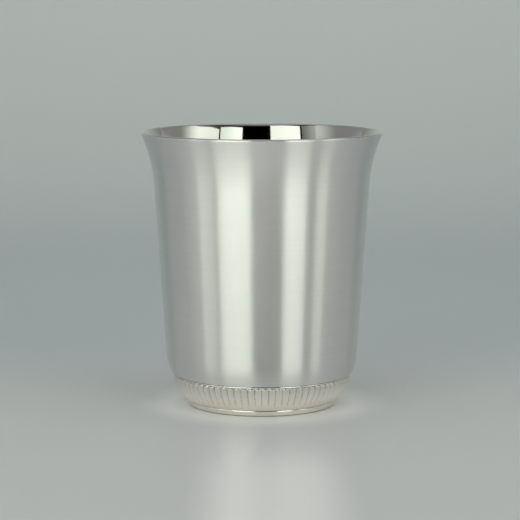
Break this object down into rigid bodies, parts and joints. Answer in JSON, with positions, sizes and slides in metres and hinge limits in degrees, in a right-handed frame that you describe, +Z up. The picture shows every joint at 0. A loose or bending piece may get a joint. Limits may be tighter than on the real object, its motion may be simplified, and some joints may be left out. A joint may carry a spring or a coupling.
{
  "type": "beaker",
  "caption": "Silver-plated drinking beaker: bell-mouthed bowl with a tapering satin wall and bright inside, a gadroon band round its base and a half-round foot ring.",
  "frame": {"origin": "centre of the circle that the foot ring stands on, at table level", "axes": "+Z up along the beaker's axis, towards the mouth; X and Y are equal, because the beaker is round"},
  "size_m": [0.07, 0.07, 0.08],
  "materials": {
    "satin_silver_plate": "silver plate over brass, satin outside from turning against a fine abrasive, mirror polished inside",
    "polished_silver_plate": "silver plate over brass, polished",
    "silver_solder": "silver solder, plated over, left as it flowed"
  },
  "bodies": {
    "root": {"bowl": "satin_silver_plate", "gadroon_band": "polished_silver_plate", "foot_ring": "polished_silver_plate", "band_solder": "silver_solder", "foot_solder": "silver_solder"}
  },
  "joints": []
}
